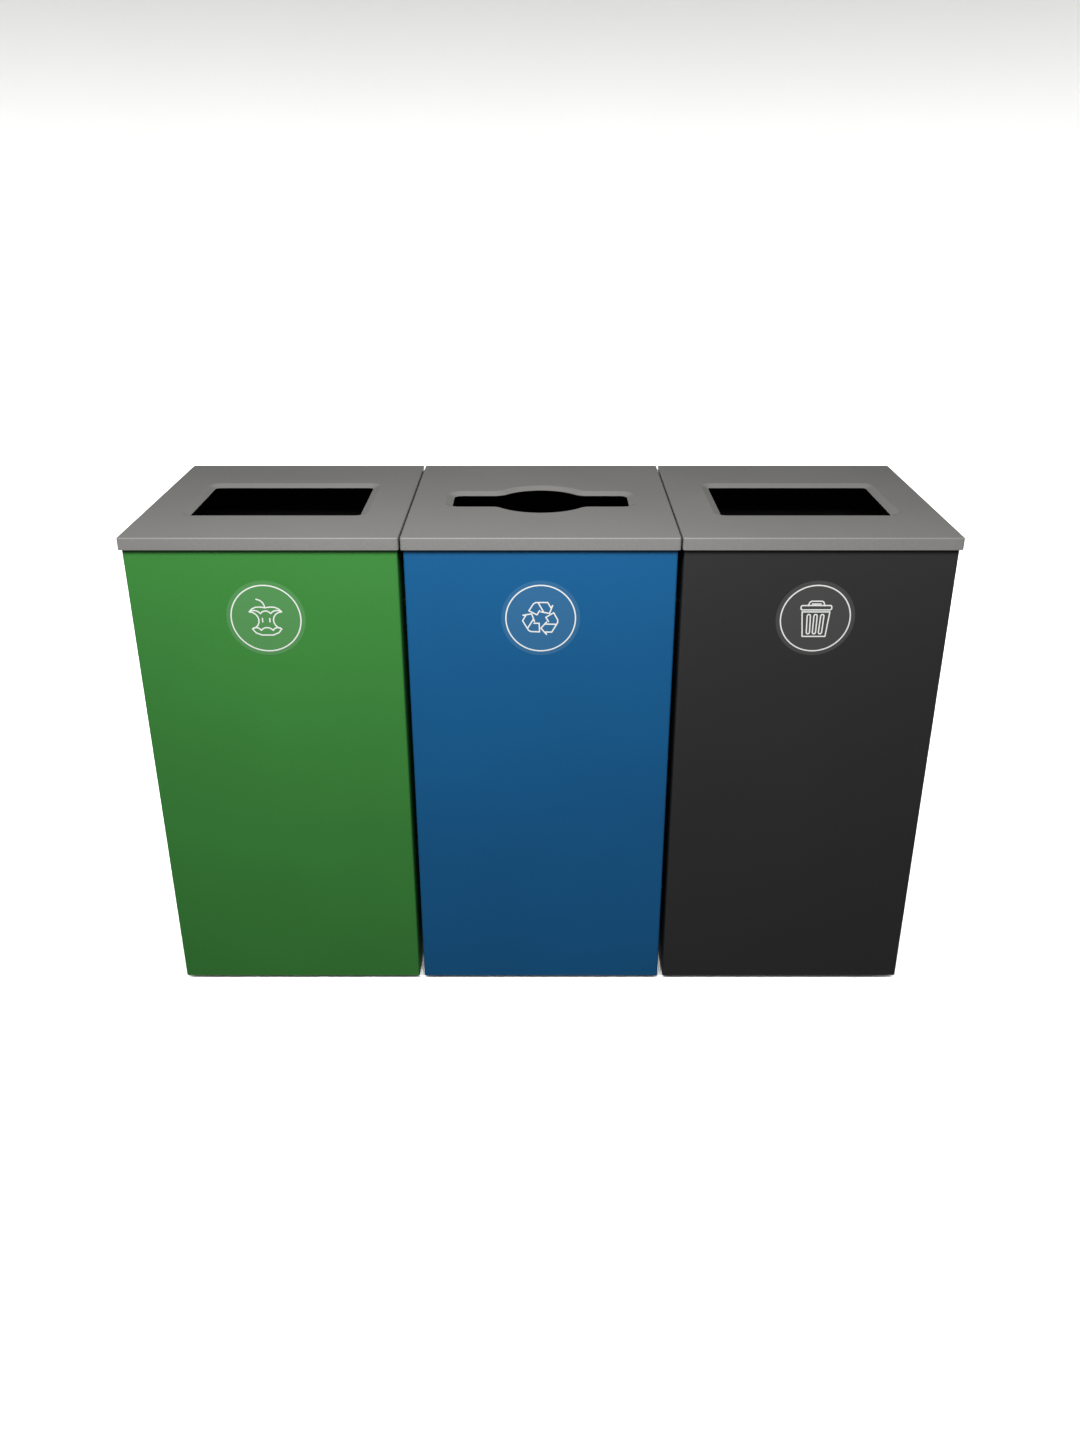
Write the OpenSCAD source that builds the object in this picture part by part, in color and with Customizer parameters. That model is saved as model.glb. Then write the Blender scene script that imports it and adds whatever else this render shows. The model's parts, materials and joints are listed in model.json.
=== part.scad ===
// Recycling bin station: three square steel bins in a row, each with a hinged folded-steel lid,
// a lift-out plastic liner with a wire bail, rubber feet and a round vinyl sign on its front.
// Origin: on the floor under the middle of the station. +Z is up and the fronts face -Y.

/* [Bins] */
// Outside width of one bin body
body_w = 398; // [340:1:480]
// Outside depth of one bin body
body_d = 418; // [340:1:500]
// Height of the lids' top face above the floor
station_h = 783; // [700:1:950]
// Thickness of the steel sheet
sheet_t = 1.5; // [1:0.1:1.5]
// Outside radius of the two bent front corners
bend_r = 3.2; // [3.2:0.1:8]
// Width of the flange turned in round the top of the body
rim_flange = 15; // [12:0.5:17]
// Depth of the stiffening flanges down both sides of the rear panel
rear_flange = 14; // [10:0.5:16]
// Height of the base pan's turned-up edge
pan_flange = 20; // [12:1:30]

/* [Lids] */
// How far a lid stands out past the body's front face
lid_front_overhang = 7.5; // [5:0.5:12]
// How far a lid stands out past each side of the body
lid_side_overhang = 3; // [2.5:0.1:5]
// Gap between neighbouring lids
lid_gap = 2.4; // [2:0.1:6]
// Height of the lid's turned-down skirt
skirt_h = 18.5; // [18.5:0.5:24]
// Outside radius of the lid's folds
fold_r = 2; // [1.6:0.1:2.4]
// Outside radius of the lid's upright corners
lid_corner_r = 3.5; // [3:0.1:6]

/* [Lid openings] */
// How far the openings' centre lies in front of the lid's centre
opening_forward = 4; // [0:0.5:12]
// Width of the rectangular hole
hole_w = 260; // [150:1:290]
// Depth of the rectangular hole
hole_d = 170; // [90:1:240]
// Corner radius of the rectangular hole
hole_r = 7; // [4:0.5:20]
// Width of the slot in the mixed recycling lid
slot_w = 277; // [200:1:300]
// Depth of that slot
slot_d = 70; // [40:1:90]
// Corner radius of that slot
slot_r = 12; // [4:0.5:18]
// Diameter of the round bulge in the middle of the slot
bulge_dia = 140; // [110:1:160]
// Radius of the blend between slot and bulge
blend_r = 30; // [22:1:40]
// Width of the sloping border pressed round each opening
border_w = 12; // [6:0.5:16]
// Depth of that border
border_h = 5; // [3:0.5:6]

/* [Hinges] */
// Length of the continuous hinge
hinge_len = 363; // [250:1:370]
// Number of knuckles, an odd number
knuckles = 11; // [7:2:15]
// Outside radius of a knuckle
knuckle_r = 3; // [2.6:0.1:3.6]
// Radius of the hinge pin
pin_r = 1.5; // [1.2:0.1:1.8]
// Clearance round the pin
pin_clear = 0.05; // [0.02:0.01:0.08]
// Thickness of a hinge leaf
leaf_t = 1.2; // [0.8:0.1:1.3]
// Height of the leaf on the body, below the pin
body_leaf_h = 22; // [18:0.5:30]
// Number of rivets in the leaf on the body
hinge_rivets = 5; // [3:1:8]
// Height of the pin above the lower edge of the skirt
pin_over_edge = 1; // [0.6:0.1:1.2]

/* [Liners] */
// Width of the liner's mouth, inside the rim
liner_w = 336; // [280:1:336]
// Depth of the liner's mouth, inside the rim
liner_d = 352; // [280:1:352]
// Height of the liner
liner_h = 550; // [400:1:552]
// How much narrower the liner is at its foot than at its mouth
liner_taper = 36; // [20:1:60]
// Wall of the liner
liner_t = 3; // [2:0.1:4]
// Width of the flat rim round the mouth
liner_rim = 12; // [11:0.5:12]
// Radius of the bail's round wire
wire_r = 2.5; // [2:0.1:3]

/* [Feet] */
// Height of the rubber feet
foot_h = 8; // [6:0.5:14]
// Radius of a foot
foot_r = 18; // [12:0.5:20]
// Distance from the foot's centre to the outside of the body
foot_inset = 30; // [26:0.5:34]

/* [Fasteners] */
// Radius of the M6 screws and bolts
bolt_r = 3; // [2.5:0.1:3.5]
// Radial clearance of the bolts in their holes
bolt_clear = 0.2; // [0.1:0.05:0.5]
// Radius of the rivets' shanks
rivet_r = 1.6; // [1.2:0.1:2]
// Outside radius of the spacers between neighbouring bodies
spacer_r = 8; // [6:0.5:12]
// Height of the lower row of link bolts above the floor
link_low = 120; // [60:1:300]
// Height of the upper row of link bolts above the floor
link_high = 650; // [600:1:690]
// Distance of the link bolts from the body's front and rear faces
link_inset = 100; // [60:1:150]
// Height of the rubber lid bumpers
bumper_h = 3; // [2:0.5:4]
// Radius of the rubber lid bumpers
bumper_r = 5; // [3:0.5:6]

/* [Signs] */
// Radius of the tinted disc
disc_r = 58.6; // [40:0.1:80]
// Mean radius of the white ring
ring_r = 51.5; // [30:0.1:70]
// Width of the white lines
line_w = 1.9; // [1:0.1:3]
// Distance of the signs' centre below the lids' top
sign_drop = 125.4; // [100:0.2:250]
// Thickness of the tinted disc
disc_t = 0.3; // [0.2:0.05:0.6]
// Thickness of the white lines
line_t = 0.2; // [0.1:0.05:0.4]

/* [Hidden] */
$fn = 48;
pitch = body_w + 2 * lid_side_overhang + lid_gap;
lid_w = body_w + 2 * lid_side_overhang;
// The lid reaches over the body, the whole hinge with half a millimetre each side of it, and its own skirt
lid_rear_overhang = 2 * knuckle_r + 1 + sheet_t;
lid_d = body_d + lid_front_overhang + lid_rear_overhang;
front_y = -lid_d / 2 + lid_front_overhang;
rear_y = lid_d / 2 - lid_rear_overhang;
body_top = station_h - sheet_t - bumper_h;
inner_w = body_w - 2 * sheet_t;
pan_top = foot_h + sheet_t;
skirt_z = station_h - skirt_h;
pin_y = rear_y + knuckle_r + 0.5;
pin_z = skirt_z + pin_over_edge;
skirt_in_y = lid_d / 2 - sheet_t;
leaf_notch = knuckle_r + 0.3;
knuckle_gap = 0.4;
lid_leaf_top = station_h - sheet_t - 2;
body_rivet_z = pin_z - (body_leaf_h + leaf_notch) / 2;
rivet_head_r = 2 * rivet_r;
rivet_head_h = 1.2;
opening_y = -opening_forward;
eps = 0.01;
corner_n = 6;
curve_n = 9;

rim_z = pan_top + liner_h;
rim_t = 4;
ear_t = 3;
bail_gap = 0.3;
bail_z = rim_z + bail_gap + wire_r;
ear_x = liner_w / 2 + liner_rim - ear_t;
bail_x = ear_x - bail_gap - wire_r;
bail_y = liner_d / 2 + liner_rim / 2;
bail_pin_r = wire_r - 0.7;

foot_x = body_w / 2 - foot_inset;
foot_front_y = front_y + foot_inset;
foot_rear_y = rear_y - foot_inset;
screw_head_h = 3.5;
nut_h = 5;
nut_r = 5.8;
bolt_head_h = 4;
thread_out = 1.5;
link_y = [front_y + link_inset, rear_y - link_inset];
link_z = [link_low, link_high];
sign_z = station_h - sign_drop;

paint = ["#46893f", "#22629a", "#363636"];
tint = ["#559457", "#386e9c", "#4a4a4a"];
organics = 0;
recycling = 1;
waste = 2;

// ---- plain shapes -------------------------------------------------------------------------

// Rectangle from x = -w/2 to w/2 and y0 to y1, its two front corners rounded
module front_rounded(w, y0, y1, r) {
    translate([-w / 2, y0 + r]) square([w, y1 - y0 - r]);
    translate([-w / 2 + r, y0]) square([w - 2 * r, r + eps]);
    for (side = [-1, 1]) translate([side * (w / 2 - r), y0 + r]) circle(r);
}

// Centred rectangle with four rounded corners
module rounded(w, d, r) {
    square([w - 2 * r, d], center = true);
    square([w, d - 2 * r], center = true);
    for (x = [-1, 1], y = [-1, 1]) translate([x * (w / 2 - r), y * (d / 2 - r)]) circle(r);
}

// Cylinder along +Y from the given point
module rod_y(h, r) {
    rotate([-90, 0, 0]) cylinder(h = h, r = r);
}

// Cylinder along +X from the given point
module rod_x(h, r) {
    rotate([0, 90, 0]) cylinder(h = h, r = r);
}

// Straight line with round ends between two points
module stroke(a, b, w) {
    translate(a) {
        rotate(atan2(b.y - a.y, b.x - a.x)) translate([0, -w / 2]) square([norm(b - a), w]);
        circle(d = w, $fn = 12);
    }
    translate(b) circle(d = w, $fn = 12);
}

module line_through(points, w = line_w) {
    for (i = [1:len(points) - 1]) stroke(points[i - 1], points[i], w);
}

// Points along an arc, angles in degrees
function arc(c, r, a0, a1, n) = [for (i = [0:n]) c + r * [cos(a0 + (a1 - a0) * i / n), sin(a0 + (a1 - a0) * i / n)]];

// Points along the arc that rises by h over the chord from a to b
function bow(a, b, h, n) =
    let (chord = norm(b - a), r = (chord * chord / 4 + h * h) / (2 * abs(h)), dir = (b - a) / chord,
         up = [-dir.y, dir.x] * sign(h), mid = (a + b) / 2, c = mid - up * (r - abs(h)),
         a0 = atan2(a.y - c.y, a.x - c.x), half = asin(chord / (2 * r)))
    arc(c, r, a0, a0 - sign(h) * 2 * half, n);

// ---- body ---------------------------------------------------------------------------------

module at_bin(bin) {
    translate([(bin - 1) * pitch, 0, 0]) children();
}

// Places of the link bolts in one side wall; side is -1 for the left wall and 1 for the right
module at_links(side) {
    for (y = link_y, z = link_z) translate([side * body_w / 2, y, z]) children();
}

// Front and both sides, folded from one sheet, with a flange turned in round the top
module shell(bin) {
    color(paint[bin]) at_bin(bin) difference() {
        union() {
            translate([0, 0, foot_h]) linear_extrude(body_top - foot_h) difference() {
                front_rounded(body_w, front_y, rear_y, bend_r);
                front_rounded(inner_w, front_y + sheet_t, rear_y + 1, bend_r - sheet_t);
            }
            translate([0, 0, body_top - sheet_t]) linear_extrude(sheet_t) difference() {
                front_rounded(body_w, front_y, rear_y, bend_r);
                translate([-body_w / 2 + rim_flange, front_y + rim_flange])
                    square([body_w - 2 * rim_flange, body_d]);
            }
        }
        for (side = [-1, 1])
            if (bin + side >= organics && bin + side <= waste)
                at_links(side) translate([-10, 0, 0]) rod_x(20, bolt_r + bolt_clear);
    }
}

// Flat panel that closes the back between the two side walls
module rear_panel(bin) {
    side_z = foot_h + pan_flange + 5;
    color(paint[bin]) at_bin(bin) difference() {
        union() {
            translate([-inner_w / 2, rear_y - sheet_t, foot_h])
                cube([inner_w, sheet_t, body_top - sheet_t - foot_h]);
            translate([-body_w / 2 + rim_flange, rear_y - rim_flange, body_top - sheet_t])
                cube([body_w - 2 * rim_flange, rim_flange, sheet_t]);
            for (side = [0, 1]) mirror([side, 0, 0])
                translate([inner_w / 2 - sheet_t, rear_y - rear_flange, side_z])
                    cube([sheet_t, rear_flange, body_top - sheet_t - side_z]);
        }
        at_hinge_rivets(body_rivet_z) translate([0, rear_y - 10, 0]) rod_y(20, rivet_r);
    }
}

// Tray that closes the bottom and carries the feet
module base_pan(bin) {
    pan_rear = rear_y - sheet_t;
    color(paint[bin]) at_bin(bin) difference() {
        translate([0, 0, foot_h]) linear_extrude(pan_flange)
            front_rounded(inner_w, front_y + sheet_t, pan_rear, bend_r - sheet_t);
        translate([0, 0, pan_top]) linear_extrude(pan_flange)
            front_rounded(inner_w - 2 * sheet_t, front_y + 2 * sheet_t, pan_rear - sheet_t, bend_r - 2 * sheet_t);
        at_feet() translate([0, 0, foot_h - 1]) cylinder(h = 5, r = bolt_r + bolt_clear);
    }
}

module at_feet() {
    for (x = [-foot_x, foot_x], y = [foot_front_y, foot_rear_y]) translate([x, y, 0]) children();
}

// Rubber feet, each counterbored for its screw
module feet(bin) {
    color("#1c1c1c") at_bin(bin) at_feet() difference() {
        cylinder(h = foot_h, r = foot_r);
        translate([0, 0, -1]) cylinder(h = foot_h + 2, r = bolt_r + bolt_clear);
        translate([0, 0, -1]) cylinder(h = 1 + foot_h - screw_head_h / 2, r = 2 * bolt_r + 0.5);
    }
}

module foot_screws(bin) {
    seat_z = foot_h - screw_head_h / 2;
    color("silver") at_bin(bin) at_feet() {
        translate([0, 0, seat_z - screw_head_h]) cylinder(h = screw_head_h, r = 2 * bolt_r);
        translate([0, 0, seat_z - eps])
            cylinder(h = pan_top - seat_z + nut_h + thread_out + eps, r = bolt_r);
    }
}

module foot_nuts(bin) {
    color("silver") at_bin(bin) at_feet() translate([0, 0, pan_top]) difference() {
        cylinder(h = nut_h, r = nut_r, $fn = 6);
        translate([0, 0, -1]) cylinder(h = nut_h + 2, r = bolt_r);
    }
}

// Rubber buttons that the shut lid rests on
module bumpers(bin) {
    x = body_w / 2 - rim_flange / 2;
    color("#1c1c1c") at_bin(bin)
        for (side = [-x, x], y = [front_y + rim_flange / 2, 0])
            translate([side, y, body_top]) cylinder(h = bumper_h, r = bumper_r);
}

// ---- hinge --------------------------------------------------------------------------------

module at_hinge_rivets(z) {
    step = hinge_len / hinge_rivets;
    for (i = [0:hinge_rivets - 1])
        translate([-hinge_len / 2 + (i + 0.5) * step, 0, z]) children();
}

// Knuckles with the given parity, each with its tab to the leaf face at leaf_y; up is 1 or -1
module knuckle_row(parity, leaf_y, up) {
    pitch_x = hinge_len / knuckles;
    for (i = [parity:2:knuckles - 1])
        translate([-hinge_len / 2 + i * pitch_x + knuckle_gap / 2, 0, 0]) difference() {
            union() {
                translate([0, pin_y, pin_z]) rod_x(pitch_x - knuckle_gap, knuckle_r);
                translate([0, leaf_y, up > 0 ? pin_z : pin_z - leaf_notch - eps])
                    cube([pitch_x - knuckle_gap, leaf_t, leaf_notch + eps]);
            }
            translate([-1, pin_y, pin_z]) rod_x(pitch_x + 2, pin_r + pin_clear);
        }
}

// Hinge leaf riveted to the outside of the rear panel
module body_leaf(bin) {
    color("silver") at_bin(bin) {
        knuckle_row(0, rear_y, -1);
        difference() {
            translate([-hinge_len / 2, rear_y, pin_z - body_leaf_h])
                cube([hinge_len, leaf_t, body_leaf_h - leaf_notch]);
            at_hinge_rivets(body_rivet_z) translate([0, rear_y - 1, 0]) rod_y(5, rivet_r);
        }
    }
}

// Hinge leaf spot-welded to the inside of the lid's rear skirt
module lid_leaf(bin) {
    leaf_y = skirt_in_y - leaf_t;
    color("silver") at_bin(bin) {
        knuckle_row(1, leaf_y, 1);
        translate([-hinge_len / 2, leaf_y, pin_z + leaf_notch])
            cube([hinge_len, leaf_t, lid_leaf_top - pin_z - leaf_notch]);
    }
}

module hinge_pin(bin) {
    color("silver") at_bin(bin) translate([-hinge_len / 2, pin_y, pin_z]) rod_x(hinge_len, pin_r);
}

// Rivets with a round head outside and a set tail inside
module body_rivets(bin) {
    color("silver") at_bin(bin) at_hinge_rivets(body_rivet_z) {
        translate([0, rear_y - sheet_t, 0]) rod_y(sheet_t + leaf_t, rivet_r);
        translate([0, rear_y + leaf_t, 0]) rod_y(rivet_head_h, rivet_head_r);
        translate([0, rear_y - sheet_t - rivet_head_h, 0]) rod_y(rivet_head_h, 0.8 * rivet_head_r);
    }
}

// ---- lid ----------------------------------------------------------------------------------

// One quarter of the rectangular hole's outline grown by g, from its right end to its top middle
function rectangle_quarter(g) =
    concat(arc([hole_w / 2 - hole_r, hole_d / 2 - hole_r], hole_r + g, 0, 90, corner_n), [[0, hole_d / 2 + g]]);

// The same quarter of a slot with a round bulge in its middle, blended by a concave arc
function mixed_quarter(g) =
    let (reach = bulge_dia / 2 + blend_r, blend_y = slot_d / 2 + blend_r,
         blend_x = sqrt(reach * reach - blend_y * blend_y), meet = atan2(blend_y, blend_x),
         bulge = arc([0, 0], bulge_dia / 2 + g, meet, 90, curve_n))
    concat(arc([slot_w / 2 - slot_r, slot_d / 2 - slot_r], slot_r + g, 0, 90, corner_n),
           arc([blend_x, blend_y], blend_r - g, 270, 180 + meet, curve_n - 1),
           [for (i = [1:curve_n]) bulge[i]]);

// The same quarter of the lid's outer edge moved in by g, with as many points as the opening's
function edge_quarter(bin, g) =
    let (x = lid_w / 2 - lid_corner_r, y = lid_d / 2 - lid_corner_r,
         steps = bin == recycling ? 2 * curve_n : 1)
    concat(arc([x, y], lid_corner_r - g, 0, 90, corner_n),
           [for (i = [1:steps]) [x * (1 - i / steps), lid_d / 2 - g]]);

// A whole outline from its quarter, whose last point lies on the middle line, at height z
function ring(q, z, shift = 0) = [
    for (p = concat(q, [for (i = [len(q) - 2:-1:0]) [-q[i].x, q[i].y]], [for (p = q) -p],
                    [for (i = [len(q) - 2:-1:0]) [q[i].x, -q[i].y]]))
        [p.x, p.y + shift, z]
];

function edge_ring(bin, g, z) = ring(edge_quarter(bin, g), z);
function opening_ring(bin, g, z) = ring(bin == recycling ? mixed_quarter(g) : rectangle_quarter(g), z, opening_y);

// Folded lid with a pressed sloping border round its opening: one sheet, laid out as rings
// that run up the outside, over the top, down through the opening and back along the inside
module lid(bin) {
    edge_z = station_h - border_h;
    under_z = station_h - sheet_t;
    fold_in = fold_r - sheet_t;
    rings = concat(
        [edge_ring(bin, 0, skirt_z)],
        [for (a = [0:22.5:90]) edge_ring(bin, fold_r * (1 - cos(a)), station_h - fold_r * (1 - sin(a)))],
        [opening_ring(bin, border_w, station_h), opening_ring(bin, 0, edge_z),
         opening_ring(bin, 0, edge_z - sheet_t), opening_ring(bin, border_w, under_z)],
        [for (a = [90:-22.5:0])
            edge_ring(bin, sheet_t + fold_in * (1 - cos(a)), under_z - fold_in * (1 - sin(a)))],
        [edge_ring(bin, sheet_t, skirt_z)]);
    n = len(rings[0]);
    all = len(rings);
    faces = [for (k = [0:all - 1], i = [0:n - 1], half = [0, 1])
        let (up = (k + 1) % all, j = (i + 1) % n)
            half == 0 ? [k * n + i, up * n + i, up * n + j] : [k * n + i, up * n + j, k * n + j]];
    color("#8c8a85") at_bin(bin) polyhedron([for (r = rings, p = r) p], faces);
}

// ---- liner --------------------------------------------------------------------------------

// Tapered block with rounded corners, from its foot at z to its mouth
module liner_block(grow, z, h) {
    r = 25 + grow;
    foot_in = liner_taper / 2 - grow;
    hull() {
        for (x = [-1, 1], y = [-1, 1]) {
            translate([x * (liner_w / 2 + grow - r), y * (liner_d / 2 + grow - r), z + h - 1])
                cylinder(h = 1, r = r, $fn = 32);
            translate([x * (liner_w / 2 - foot_in - r), y * (liner_d / 2 - foot_in - r), z])
                cylinder(h = 1, r = r, $fn = 32);
        }
    }
}

// Lift-out bucket with a flat rim and an ear on each side for the bail
module liner(bin) {
    color("#202224") at_bin(bin) difference() {
        union() {
            liner_block(0, pan_top, liner_h);
            translate([0, 0, rim_z - rim_t]) linear_extrude(rim_t)
                rounded(liner_w + 2 * liner_rim, liner_d + 2 * liner_rim, 30);
            for (side = [0, 1]) mirror([side, 0, 0]) {
                translate([ear_x, -8, rim_z - eps]) cube([ear_t, 16, bail_z - rim_z + eps]);
                translate([ear_x, 0, bail_z]) rod_x(ear_t, 8);
            }
        }
        liner_block(-liner_t, pan_top + liner_t, liner_h);
        for (side = [0, 1]) mirror([side, 0, 0])
            translate([ear_x - 1, 0, bail_z]) rod_x(ear_t + 2, bail_pin_r + pin_clear);
    }
}

// Wire bail that lies on the rear rim and swings over to the front rim
module bail(bin) {
    color("silver") at_bin(bin) {
        for (side = [0, 1]) mirror([side, 0, 0]) {
            translate([bail_x, 0, bail_z]) rod_y(bail_y, wire_r);
            translate([bail_x, 0, bail_z]) sphere(wire_r);
            translate([bail_x, bail_y, bail_z]) sphere(wire_r);
            translate([bail_x, 0, bail_z]) rod_x(ear_x + ear_t + 1 - bail_x, bail_pin_r);
        }
        translate([-bail_x, bail_y, bail_z]) rod_x(2 * bail_x, wire_r);
    }
}

// ---- signs --------------------------------------------------------------------------------

// Draws a flat shape on the front face of a bin, from depth off to off + t in front of it
module on_front(bin, off, t) {
    at_bin(bin) translate([0, front_y - off, sign_z]) rotate([90, 0, 0]) linear_extrude(t) children();
}

// Core of an apple with its stem and two pips
module apple_core() {
    for (x = [-1, 1]) {
        line_through([[x * 24, 10.4], [x * 19.6, 15], [x * 14.2, 17.6], [x * 7, 17.9], [0, 16.8]]);
        line_through(bow([x * 24, 10.4], [x * 7.4, 7.7], -x * 3.4, 5));
        line_through(bow([x * 24, 10.4], [x * 21.8, -16.4], -x * 12.2, 8));
        line_through(bow([x * 21.8, -16.4], [x * 8.9, -18.8], -x * 3.2, 5));
        line_through([[x * 21.8, -16.4], [x * 17, -22.6], [x * 8.5, -26.2], [0, -26.2]]);
        line_through([[x * 5.4, 0], [x * 5.4, -5.4]]);
    }
    line_through(bow([-7.4, 7.7], [7.4, 7.7], 4.2, 6));
    line_through(bow([-8.9, -18.8], [8.9, -18.8], 4.4, 6));
    line_through(bow([-12, 30], [-0.5, 17.2], 3.2, 5));
}

// Three folded arrows chasing each other round a triangle
module chasing_arrows() {
    for (turn = [0, 120, 240]) rotate(turn) {
        line_through([[-1.6, 12.4], [-5.4, 5.7], [-17.5, 12.1], [-10.6, 23], [-7, 25], [10.4, 25],
                      [15, 16.9], [17.6, 20.2], [13, 7.9], [0.3, 10.4]]);
        line_through([[-3.6, 24.6], [4.3, 10.1]]);
    }
}

// Lidded bin with a handle and three ribs
module waste_bin() {
    lid_line = [[-21, 13.5], [21, 13.5], [22.6, 15.2], [22.6, 18.6], [21, 20.3], [-21, 20.3],
                [-22.6, 18.6], [-22.6, 15.2], [-21, 13.5]];
    line_through(lid_line);
    line_through([[-12, 20], [-10.6, 25], [-8, 27], [8, 27], [10.6, 25], [12, 20]]);
    line_through([[-6.5, 22.6], [6.5, 22.6]]);
    line_through([[-20.5, 10.4], [20.5, 10.4], [17, -28.4], [-17, -28.4], [-20.5, 10.4]]);
    for (x = [-10, 0, 10])
        line_through(concat(arc([x, 4], 2.4, 0, 180, 4), arc([0.9 * x, -22], 2.4, 180, 360, 4), [[x + 2.4, 4]]));
}

module sign_disc(bin) {
    color(tint[bin]) on_front(bin, 0, disc_t) circle(disc_r, $fn = 96);
}

module sign_lines(bin) {
    color("white") on_front(bin, disc_t, line_t) {
        difference() {
            circle(ring_r + line_w / 2, $fn = 96);
            circle(ring_r - line_w / 2, $fn = 96);
        }
        if (bin == organics) apple_core();
        if (bin == recycling) chasing_arrows();
        if (bin == waste) waste_bin();
    }
}

// ---- links between the bodies ----------------------------------------------------------------

// Each joint between neighbouring bodies, with its middle plane at x = 0
module at_joints() {
    for (joint = [-0.5, 0.5], y = link_y, z = link_z) translate([joint * pitch, y, z]) children();
}

module link_spacers() {
    gap = pitch - body_w;
    color("silver") at_joints() translate([-gap / 2, 0, 0]) difference() {
        rod_x(gap, spacer_r);
        translate([-1, 0, 0]) rod_x(gap + 2, bolt_r + bolt_clear);
    }
}

module link_bolts() {
    grip = pitch - body_w + 2 * sheet_t;
    color("silver") at_joints() translate([-grip / 2, 0, 0]) {
        translate([-bolt_head_h, 0, 0]) rotate([0, 90, 0]) cylinder(h = bolt_head_h, r = nut_r, $fn = 6);
        translate([-eps, 0, 0]) rod_x(grip + nut_h + thread_out + eps, bolt_r);
    }
}

module link_nuts() {
    grip = pitch - body_w + 2 * sheet_t;
    color("silver") at_joints() translate([grip / 2, 0, 0]) difference() {
        rotate([0, 90, 0]) cylinder(h = nut_h, r = nut_r, $fn = 6);
        translate([-1, 0, 0]) rod_x(nut_h + 2, bolt_r);
    }
}

// ---- the station --------------------------------------------------------------------------

shell(organics);  // organics_shell
rear_panel(organics);  // organics_rear_panel
base_pan(organics);  // organics_base_pan
feet(organics);  // organics_feet
foot_screws(organics);  // organics_foot_screws
foot_nuts(organics);  // organics_foot_nuts
bumpers(organics);  // organics_bumpers
body_leaf(organics);  // organics_body_leaf
body_rivets(organics);  // organics_body_rivets
hinge_pin(organics);  // organics_hinge_pin
lid(organics);  // organics_lid
lid_leaf(organics);  // organics_lid_leaf
liner(organics);  // organics_liner
bail(organics);  // organics_bail
sign_disc(organics);  // organics_sign_disc
sign_lines(organics);  // organics_sign_lines
shell(recycling);  // recycling_shell
rear_panel(recycling);  // recycling_rear_panel
base_pan(recycling);  // recycling_base_pan
feet(recycling);  // recycling_feet
foot_screws(recycling);  // recycling_foot_screws
foot_nuts(recycling);  // recycling_foot_nuts
bumpers(recycling);  // recycling_bumpers
body_leaf(recycling);  // recycling_body_leaf
body_rivets(recycling);  // recycling_body_rivets
hinge_pin(recycling);  // recycling_hinge_pin
lid(recycling);  // recycling_lid
lid_leaf(recycling);  // recycling_lid_leaf
liner(recycling);  // recycling_liner
bail(recycling);  // recycling_bail
sign_disc(recycling);  // recycling_sign_disc
sign_lines(recycling);  // recycling_sign_lines
shell(waste);  // waste_shell
rear_panel(waste);  // waste_rear_panel
base_pan(waste);  // waste_base_pan
feet(waste);  // waste_feet
foot_screws(waste);  // waste_foot_screws
foot_nuts(waste);  // waste_foot_nuts
bumpers(waste);  // waste_bumpers
body_leaf(waste);  // waste_body_leaf
body_rivets(waste);  // waste_body_rivets
hinge_pin(waste);  // waste_hinge_pin
lid(waste);  // waste_lid
lid_leaf(waste);  // waste_lid_leaf
liner(waste);  // waste_liner
bail(waste);  // waste_bail
sign_disc(waste);  // waste_sign_disc
sign_lines(waste);  // waste_sign_lines
link_spacers();
link_bolts();
link_nuts();
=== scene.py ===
"""Recycling bin station: the visual model of three square steel bins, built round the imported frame."""

import json
import math

import bmesh
import bpy
from bpy.props import FloatProperty, FloatVectorProperty, PointerProperty
from mathutils import Matrix, Vector


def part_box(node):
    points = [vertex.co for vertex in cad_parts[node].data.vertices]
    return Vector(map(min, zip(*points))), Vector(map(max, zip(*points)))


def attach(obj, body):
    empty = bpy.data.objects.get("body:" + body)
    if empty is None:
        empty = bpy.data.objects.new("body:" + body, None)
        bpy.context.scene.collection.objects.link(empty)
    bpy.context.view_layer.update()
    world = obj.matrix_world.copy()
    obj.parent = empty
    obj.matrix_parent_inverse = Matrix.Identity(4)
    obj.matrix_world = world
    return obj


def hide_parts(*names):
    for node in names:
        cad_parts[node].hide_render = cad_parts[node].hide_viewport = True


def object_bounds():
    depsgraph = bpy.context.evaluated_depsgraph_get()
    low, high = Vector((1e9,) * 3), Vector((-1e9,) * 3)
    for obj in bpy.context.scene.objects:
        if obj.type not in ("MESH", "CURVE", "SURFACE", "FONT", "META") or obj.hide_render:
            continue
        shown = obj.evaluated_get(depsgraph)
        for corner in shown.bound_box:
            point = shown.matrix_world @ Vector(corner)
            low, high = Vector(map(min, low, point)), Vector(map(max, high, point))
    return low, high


bl_info = {
    "name": "Recycling Bin Station",
    "version": (1, 0, 0),
    "blender": (4, 5, 0),
    "location": "View3D > Sidebar > Bin Station",
    "description": "Three square steel sorting bins with hinged lids, liners and round signs",
    "category": "Object",
}

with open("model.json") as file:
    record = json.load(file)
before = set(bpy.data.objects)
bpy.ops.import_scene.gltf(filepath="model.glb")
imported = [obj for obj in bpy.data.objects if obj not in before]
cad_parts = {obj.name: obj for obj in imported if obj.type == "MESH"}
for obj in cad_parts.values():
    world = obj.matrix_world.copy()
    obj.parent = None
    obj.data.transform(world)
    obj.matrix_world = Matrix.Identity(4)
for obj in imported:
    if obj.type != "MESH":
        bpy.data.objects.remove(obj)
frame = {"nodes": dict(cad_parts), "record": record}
CAD_LOW, CAD_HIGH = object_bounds()

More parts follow.
